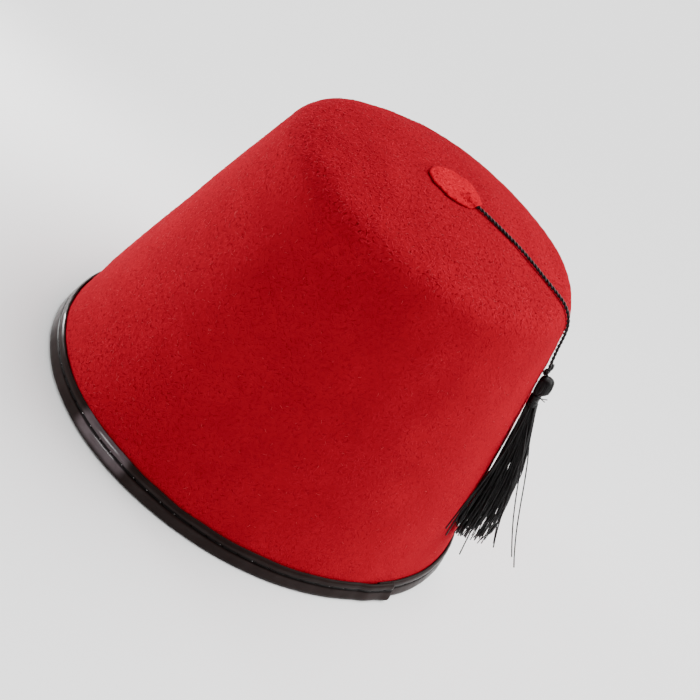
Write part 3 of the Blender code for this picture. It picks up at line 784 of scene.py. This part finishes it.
def skirt_paths():
    """Where the threads run, lock by lock. Each lock goes from its start across the neck to
    its end across the skirt while it leans out to its tip's place; each thread keeps its own
    place in the lock's section, which opens on the way down, and sways by two slow waves that
    grow towards the tip. The loose threads are locks of one."""
    chance = np.random.default_rng(SKIRT_SEED)
    along = np.linspace(0.0, 1.0, STRAND_POINTS)[None, :]
    high = NECK_WIDTH / 2 + TASSEL_GAP
    lone = [(x, x * 0.95, chance.uniform(*LOOSE_LIFTS), chance.uniform(*LOOSE_LENGTHS), 0.0)
            for x in chance.uniform(-0.9, 0.9, LOOSE)]
    paths = []
    for start, end, stands, length, size in list(LOCKS) + lone:
        count = STRANDS if size > 0.0 else 1
        place = np.sqrt(chance.uniform(0.0, 1.0, (count, 1)))
        spin = chance.uniform(0.0, 2 * np.pi, (count, 1))
        long = length * (1.0 + chance.normal(0.0, 0.020, (count, 1)))
        girth = LOCK_RADIUS * size * (0.55 + 0.55 * ease(along / 0.5) + 0.25 * along ** 3)
        run = SKIRT_RUN + (-LOCK_ROOT + along * (long + LOCK_ROOT)) * SKIRT_LENGTH
        spread = 0.15 * along + 0.85 * ease(along * 0.9) / ease(np.array(0.9))
        across = (start * NECK_WIDTH * (1 - spread) + end * SKIRT_WIDTH * spread) / 2
        across = across + place * np.cos(spin) * girth
        rooted = (high + (stands / FURTHEST - 0.5) * NECK_WIDTH * 0.8) * (1 - along) ** 2
        lift = rooted + stands * (1.0 - (1 - along) ** 2) ** 1.15 + place * np.sin(spin) * girth
        lift = lift + (high + 0.0002) * (along * (1 - along) * 1.6)
        for wave_length, sway in SWAYS:
            turns = chance.uniform(0.0, 2 * np.pi, (2, count, 1))
            swing = 2 * np.pi * (run - SKIRT_RUN) / wave_length
            across = across + sway * along * np.sin(swing + turns[0])
            lift = lift + sway * 0.8 * along * np.sin(swing + turns[1])
        paths.append(hung(run, across, np.maximum(lift, STRAND + THREAD_CLEAR)))
    for start, end, stands, long, bow in STRAYS:
        spread = along ** 1.2
        run = SKIRT_RUN + (-STRAY_ROOT + along * long) * SKIRT_LENGTH
        across = (start * NECK_WIDTH * (1 - spread) + end * SKIRT_WIDTH * spread) / 2
        across = across + bow * np.sin(np.pi * along * 1.3)
        lift = high + (stands - high) * spread + abs(bow) * 0.5 * np.sin(np.pi * along * 1.7)
        paths.append(hung(run, across, np.maximum(lift, STRAND + THREAD_CLEAR)))
    return np.concatenate(paths)


skirt_lines = skirt_paths()
thick = np.where(np.arange(len(skirt_lines)) < len(skirt_lines) - len(STRAYS), STRAND, STRAY)[:, None]
skirt_threads = tubes(skirt_lines, thick, STRAND_SIDES, up=(0.6, 0.8, 0.1))
tassel_black = thread_finish("tassel thread", TASSEL_BLACK, 0.40, 0.20)
make_piece("tassel_skirt", skirt_threads, "tassel_thread", tassel_black, "tassel")


# The tassel's head: the same threads folded over a small core and drawn smooth, so that they
# run from its flat top down its sides into the neck.
HEAD_SECTION = (
    # along, width, lean from the head's middle line to the neck's
    (0.00, 0.42, 0.0),
    (0.04, 0.66, 0.0),
    (0.11, 0.80, 0.0),
    (0.24, 0.88, 0.0),
    (0.50, 0.92, 0.0),
    (0.76, 0.88, 0.1),
    (0.92, 0.70, 0.6),
    (1.00, 0.56, 1.0),
)
HEAD_THREADS = 30
HEAD_SEED = 43


def head_middle(along):
    """The head's middle line and half width at a share of its length."""
    shares, widths, leans = np.array(HEAD_SECTION).T
    half = np.interp(along, shares, widths) * HEAD_WIDTH / 2
    lean = np.interp(along, shares, leans)
    head_lift = HEAD_WIDTH / 2 + TASSEL_GAP
    lift = head_lift + (NECK_WIDTH / 2 + TASSEL_GAP - head_lift) * lean
    point, out, _, side = felt_frame(TASSEL_AZIMUTH, HEAD_RUN + along * HEAD_LENGTH)
    return point + out * lift[..., None], out, side, half


def head_paths():
    """Threads over the head: each follows a line from the top's middle down the outline of
    the head, and drifts a little to one side."""
    chance = np.random.default_rng(HEAD_SEED)
    along = np.concatenate([[0.0, 0.0], np.linspace(0.0, 1.04, 20)])[None, :]
    inward = np.concatenate([[0.1, 0.6], np.ones(20)])[None, :]
    middle, out, side, half = head_middle(np.minimum(along[0], 1.0))
    spin = (np.arange(HEAD_THREADS)[:, None] + chance.uniform(-0.25, 0.25, (HEAD_THREADS, 1))) \
        * 2 * np.pi / HEAD_THREADS
    spin = spin + along * chance.normal(0.0, 0.10, (HEAD_THREADS, 1))
    reach = half * inward - STRAND + chance.uniform(-0.00012, 0.00014, (HEAD_THREADS, 1))
    return middle + turned(side, out, spin) * reach[..., None]


def lathe(middle, side, out, half, sides):
    """A closed round solid: circles of the given half widths about a line of middles."""
    ways = turned(side[:, None], out[:, None], once_round(sides))
    rings = middle[:, None] + half[:, None, None] * ways
    points = np.vstack([rings.reshape(-1, 3), middle[[0, -1]]])
    return points, [grid_faces(len(rings), sides), *end_fans(len(rings), sides)]


def join(*meshes):
    """Several meshes, as points and faces, as one."""
    points, faces, start = [], [], 0
    for some_points, some_faces in meshes:
        points.append(some_points)
        faces += [rows + start for rows in some_faces]
        start += len(some_points)
    return np.vstack(points), faces


core_middle, core_out, core_side, core_half = head_middle(np.linspace(0.0, 1.0, 16))
head_threads = join(tubes(head_paths(), STRAND * 1.35, 6, up=(0.31, 0.23, 0.92)),
                    lathe(core_middle, core_side, core_out, core_half - STRAND * 1.4, 28))
head = make_piece("tassel_head", head_threads, "tassel_thread", tassel_black, "tassel")


# The neck's winding: one fine waxed thread wound tight round the folded threads, a little
# unevenly, with a last turn that crosses the others on its way to being tucked in.
WINDING_TURNS = 10
WINDING_THREAD = 0.00027       # radius
WINDING_TAILS = (
    # how far a cut end goes outward, upward and aside
    (0.0030, 0.0014, 0.0010),
    (0.0026, 0.0003, 0.0017),
)
WINDING_BLACK = (0.0035, 0.0028, 0.0028)


def winding_path():
    """A helix about the neck's middle line whose pitch swells and shrinks a little, then one
    steep turn back over it."""
    turns = np.linspace(0.0, 1.0, WINDING_TURNS * 30)
    back = np.linspace(0.0, 1.0, 34)[1:]
    along = np.concatenate([turns + 0.010 * np.sin(turns * 31.0), 1.0 - back * 0.80])
    spin = np.concatenate([turns * WINDING_TURNS * 2 * np.pi,
                           WINDING_TURNS * 2 * np.pi + back * 1.15 * np.pi])
    proud = np.concatenate([0.00004 * np.sin(turns * 57.0), 0.00030 * np.sin(np.pi * back) ** 0.5])
    run = NECK_RUN + WINDING_THREAD + along * (NECK_LENGTH - 2 * WINDING_THREAD)
    point, out, _, side = felt_frame(TASSEL_AZIMUTH, run)
    middle = point + out * (NECK_WIDTH / 2 + TASSEL_GAP)
    return middle + turned(side, out, spin) * (NECK_WIDTH / 2 - WINDING_THREAD + proud)[:, None]


def winding_tails():
    """The tied thread's two cut ends, which stand out from the neck's top and fork."""
    along = np.linspace(0.0, 1.0, 14)[:, None]
    point, out, down, side = felt_frame(TASSEL_AZIMUTH, NECK_RUN + 0.0006)
    start = point + out * (NECK_WIDTH + TASSEL_GAP - 0.0004) - side * 0.0006
    ends = []
    for outward, upward, aside in WINDING_TAILS:
        ends.append(start + out * outward * along - down * upward * along ** 1.6 - side * aside * along)
    return tubes(np.array(ends), WINDING_THREAD * 0.8, 6, up=(0.1, 0.2, 0.9))


neck_run = np.linspace(NECK_RUN - 0.0002, SKIRT_RUN, 6)
neck_foot, neck_out, _, neck_side = felt_frame(TASSEL_AZIMUTH, neck_run)
neck_core = lathe(neck_foot + neck_out * (NECK_WIDTH / 2 + TASSEL_GAP), neck_side, neck_out,
                  np.full(len(neck_run), NECK_WIDTH / 2 - 0.0005), 20)
wound_thread = join(tubes(winding_path()[None], WINDING_THREAD, 8), winding_tails(), neck_core)
winding_black = thread_finish("winding thread", WINDING_BLACK, 0.38, 0.25)
winding = make_piece("neck_winding", wound_thread, "winding_thread", winding_black,
                     "tassel_neck_winding")


# The cord: two plies of shiny black rayon twisted together. It is sewn on under the top
# button, lies over the top and down the wall, and is tied off in a knot over the tassel.
CORD_DIAMETER = 0.0014
CORD_PITCH = 0.0036            # one whole turn of the twist
PLY = 0.00037                  # radius of one ply
CORD_STEP = 0.00022
CORD_UP = (0.35, 0.28, 0.9)    # a direction that the cord never takes
CORD_BLACK = (0.0028, 0.0025, 0.0028)
CORD_GLINT = (0.040, 0.034, 0.036)
CORD_ROUTE = (
    # azimuth, run from the top's centre over the felt, lift of the cord's middle
    (28.0, 0.0092, 0.0010),
    (30.3, 0.0112, 0.0010),
    (32.4, 0.0140, 0.0010),
    (34.2, 0.0180, 0.0010),
    (35.8, 0.0230, 0.0010),
    (37.3, 0.0290, 0.0010),
    (38.1, 0.0350, 0.0010),
    (38.1, 0.0410, 0.0010),
    (38.0, 0.0465, 0.0010),
    (38.2, 0.0515, 0.0010),
    (38.6, 0.0560, 0.0010),
    (38.9, 0.0600, 0.0010),
    (39.1, 0.0640, 0.0010),
    (39.1, 0.0680, 0.0010),
    (39.0, 0.0725, 0.0011),
    (38.8, 0.0775, 0.0012),
    (38.6, 0.0825, 0.0015),
    (38.5, 0.0873, 0.0019),
)


def smooth_route(knots, spacing):
    """A Catmull-Rom curve through the route's points, in even steps."""
    padded = np.vstack([2 * knots[0] - knots[1], knots, 2 * knots[-1] - knots[-2]])
    a, b, c, d = (padded[k:len(padded) - 3 + k, None] for k in range(4))
    u = np.linspace(0.0, 1.0, 24, endpoint=False)[:, None]
    fine = 0.5 * (2 * b + (c - a) * u + (2 * a - 5 * b + 4 * c - d) * u ** 2
                  + (3 * b - a - 3 * c + d) * u ** 3)
    fine = np.vstack([fine.reshape(-1, 3), knots[-1:]])
    walked = np.append(0.0, np.cumsum(np.linalg.norm(np.diff(fine, axis=0), axis=1)))
    at = np.linspace(0.0, walked[-1], int(walked[-1] / spacing) + 1)
    return np.stack([np.interp(at, walked, fine[:, k]) for k in range(3)], axis=-1), walked[-1]


def twisted(path, pitch, ply, plies=2):
    """The plies of a cord: helices about the path, half a turn apart, that just touch."""
    walked = np.append(0.0, np.cumsum(np.linalg.norm(np.diff(path, axis=0), axis=1)))
    ahead = unit(np.gradient(path, axis=0))
    beside = unit(np.cross(ahead, CORD_UP))
    above = np.cross(ahead, beside)
    spin = walked * 2 * np.pi / pitch + np.arange(plies)[:, None] * 2 * np.pi / plies
    return path + ply * turned(beside, above, spin)


def cord_finish(name):
    """Shiny black cord: streaks of fine filaments with paler glints on the plies."""
    material, shader, place = new_finish(name)
    speck = step(noise(place, 0.0006, 2.0), 0.60, 0.72)
    plug(shader, {"Base Color": mix(speck, CORD_BLACK, CORD_GLINT), "Roughness": 0.36,
                  "Specular IOR Level": 0.32, "Normal": bump(noise(place, 0.00025, 2.0), 0.00009, 0.7)})
    return material


route = np.array([[felt_frame(azimuth, run)[k] for k in (0, 1)] for azimuth, run, _ in CORD_ROUTE])
lifts = np.array(CORD_ROUTE)[:, 2:]
cord_path, cord_length = smooth_route(route[:, 0] + route[:, 1] * lifts, CORD_STEP)
cord_plies = tubes(twisted(cord_path, CORD_PITCH, PLY * 0.9), PLY, 10, up=CORD_UP)
black_cord = cord_finish("black cord")
cord = make_piece("twisted_cord", cord_plies, "black_cord", black_cord, "tassel_cord")


# The cord's knot: the cord's end is looped through itself over the tassel's head, and its
# two plies spread where they are cut off.
KNOT_CORD = 0.00058            # radius of the cord in the knot
KNOT_PITCH = 0.0030
TAIL_LENGTH = 0.0036
TAIL_START = 0.0006            # beside the knot's middle
KNOT_STEPS = 96
KNOT_UP = (0.2, 0.9, 0.4)


def knot_paths():
    """A trefoil pulled tight about the cord's line, which runs down through it."""
    t = np.linspace(0.0, 2 * np.pi, KNOT_STEPS)
    across = (np.sin(t) + 2 * np.sin(2 * t)) / 3
    outward = (np.cos(t) - 2 * np.cos(2 * t)) / 3
    downward = np.sin(3 * t)
    lift = KNOT_WIDTH / 2 + TASSEL_GAP
    point, out, down, side = felt_frame(TASSEL_AZIMUTH, KNOT_RUN + KNOT_LENGTH / 2)
    middle = point + out * lift
    reach = KNOT_WIDTH / 2 - KNOT_CORD
    drop = KNOT_LENGTH / 2 - KNOT_CORD * 0.6
    loop = middle + reach * (side * across[:, None] + out * outward[:, None])
    loop = loop + down * drop * downward[:, None]
    u = np.linspace(0.0, 1.0, KNOT_STEPS)[:, None]
    tails = []
    for splay, rise in ((0.30, 1.00), (0.75, 0.80)):
        tails.append(middle + side * (TAIL_START + splay * TAIL_LENGTH * u) - down * (rise * TAIL_LENGTH * u)
                     + out * 0.0006 * np.sin(2.2 * u))
    return loop, tails


knot_loop, knot_tails = knot_paths()
tail_radius = 0.00036 + 0.00052 * np.sin(np.linspace(0.0, 2.6, KNOT_STEPS))
knot_plies = twisted(knot_loop, KNOT_PITCH, KNOT_CORD * 0.45)
knot_cord = join(tubes(knot_plies, KNOT_CORD * 0.55, 8, up=KNOT_UP),
                 tubes(knot_tails, tail_radius, 8, up=KNOT_UP))
knot = make_piece("cord_knot", knot_cord, "knot_cord", black_cord, "tassel_knot")


# The top button: a small disc cut from softer and brighter felt, sewn on over the cord's end,
# which lifts its edge in a low hump where it comes out.
BUTTON_RADIUS = 0.0117
BUTTON_THICKNESS = 0.0010
HUMP_AZIMUTH = 29.5
HUMP_HALF_WIDTH = 0.0050
HUMP_REACH = 0.0075
HUMP_RAMP = 0.0025
BUTTON_WANDER = 0.00016        # how far its cut edge strays from a circle
BUTTON_CLEAR = 0.0001          # room over the felt and over the cord
BUTTON_AROUND = 160
BUTTON_TOP_ROWS = 26
BUTTON_UNDER_ROWS = 12
BUTTON_EDGE = ((0.97, 0.93), (0.99, 0.78), (1.0, 0.50), (0.99, 0.22), (0.97, 0.07))   # out, up
BUTTON_WAVES = ((0.0090, 0.00012, 5), (0.0030, 0.00006, 10))
BUTTON_SEED = 47
BUTTON_RELIEF_SEED = 53
BUTTON_RED = (0.380, 0.0022, 0.0130)
BUTTON_PALE = (0.760, 0.0100, 0.0320)
BUTTON_DEEP = (0.200, 0.0012, 0.0040)


def button_surface():
    """A disc in one closed skin: over its top from the middle to a soft rounded edge, and back
    under it. Its edge wanders a little, and the cord lifts it by a hump."""
    edge_out, edge_up = np.array(BUTTON_EDGE).T
    share = np.concatenate([np.linspace(0.03, 0.94, BUTTON_TOP_ROWS), edge_out,
                            np.linspace(0.94, 0.03, BUTTON_UNDER_ROWS)])
    up = np.concatenate([np.ones(BUTTON_TOP_ROWS), edge_up, np.zeros(BUTTON_UNDER_ROWS)])
    angle = once_round(BUTTON_AROUND)[None, :]
    chance = np.random.default_rng(BUTTON_SEED)
    wander = sum(np.cos(k * angle + chance.uniform(0, 2 * np.pi)) * chance.normal(0, BUTTON_WANDER)
                 for k in (2, 3, 5, 7, 9, 12))
    radius = share[:, None] * (BUTTON_RADIUS + wander)
    inward = ease((radius - (BUTTON_RADIUS - HUMP_REACH)) / HUMP_RAMP)
    turn = (angle - np.radians(HUMP_AZIMUTH) + np.pi) % (2 * np.pi) - np.pi
    beside = (np.abs(turn) * radius - CORD_DIAMETER) / (HUMP_HALF_WIDTH - CORD_DIAMETER)
    hump = (CORD_DIAMETER + BUTTON_CLEAR) * inward * (1.0 - ease(beside))
    away = np.stack([radius * np.cos(angle), radius * np.sin(angle)], axis=-1)
    crown_radius = np.linalg.norm(away + (crown_point(0.0, 3.0) - TOP_CENTRE)[:2], axis=-1)
    dome = TOP_CENTRE[2] + DOME_RISE * (1.0 - (crown_radius / TOP_RADIUS) ** 2) + BUTTON_CLEAR
    height = dome + hump + up[:, None] * BUTTON_THICKNESS
    points = np.concatenate([away + TOP_CENTRE[:2], height[..., None]], axis=-1)
    relief = waves(points, BUTTON_WAVES, BUTTON_RELIEF_SEED) * up[:, None]
    points = points + UP * relief[..., None]
    top, under = points[0].mean(axis=0), points[-1].mean(axis=0)
    return (np.vstack([points.reshape(-1, 3), top, under]),
            [grid_faces(len(points), BUTTON_AROUND), *end_fans(len(points), BUTTON_AROUND)])


button_felt = felt_finish("button felt", BUTTON_RED, BUTTON_PALE, BUTTON_DEEP, 0.4)
make_piece("felt_button", button_surface(), "button_felt", button_felt, "top_button")


# The studio: a plain pale floor, a white ceiling of light over dimmer walls, and soft lamps
# at both sides. None of it is part of the hat.
FLOOR_SIZE = 8.0
FLOOR_WHITE = (0.92, 0.92, 0.92)
WALLS_GLOW = (0.16, 0.16, 0.16)
CEILING_GLOW = (6.60, 6.60, 6.60)
LAMP_SPREAD = 70.0             # degrees
CEILING_TOWARD = (0.142, 0.640, 0.755)
CEILING_SPREAD = (0.62, 0.88)  # share of that direction at which the glow fades in and is full
LAMPS = (
    # name, azimuth, elevation, distance, size, watts
    ("left lamp", -108.0, 0.0, 0.41, 0.10, 0.46),
    ("right lamp", 100.0, 24.0, 0.80, 0.4, 0.52),
    ("front lamp", -40.0, 0.0, 0.50, 0.10, 0.17),
)

floor_mesh = bpy.data.meshes.new("floor")
edge = FLOOR_SIZE / 2
floor_mesh.from_pydata([(-edge, -edge, 0.0), (edge, -edge, 0.0), (edge, edge, 0.0), (-edge, edge, 0.0)],
                       [], [(0, 1, 2, 3)])
floor = add("floor", floor_mesh)
floor_paint, floor_shader, _ = new_finish("pale floor")
plug(floor_shader, {"Base Color": (*FLOOR_WHITE, 1.0), "Roughness": 0.9, "Specular IOR Level": 0.1})
floor_mesh.materials.append(floor_paint)

world = bpy.data.worlds.new("surround")
world.use_nodes = True
toward = Shade(world.node_tree.nodes.new("ShaderNodeTexCoord").outputs["Generated"])
overhead = dot(toward, CEILING_TOWARD)
plug(world.node_tree.nodes["Background"],
     {"Color": mix(step(overhead, *CEILING_SPREAD), WALLS_GLOW, CEILING_GLOW), "Strength": 1.0})
bpy.context.scene.world = world


def lamp(name, azimuth, elevation, distance, size, watts):
    """A square soft lamp with a shade, that points at the hat. Azimuth 0 is in front of the
    camera's side of the hat, and grows to its right."""
    turn = azimuth - 90.0 + np.degrees(VIEW_AZIMUTH)
    heading = Vector((np.cos(np.radians(turn)) * np.cos(np.radians(elevation)),
                      np.sin(np.radians(turn)) * np.cos(np.radians(elevation)),
                      np.sin(np.radians(elevation))))
    light = bpy.data.lights.new(name, "AREA")
    light.energy = watts
    light.size = size
    light.spread = np.radians(LAMP_SPREAD)
    add(name, light).matrix_world = standing(heading, distance)


for row in LAMPS:
    lamp(*row)
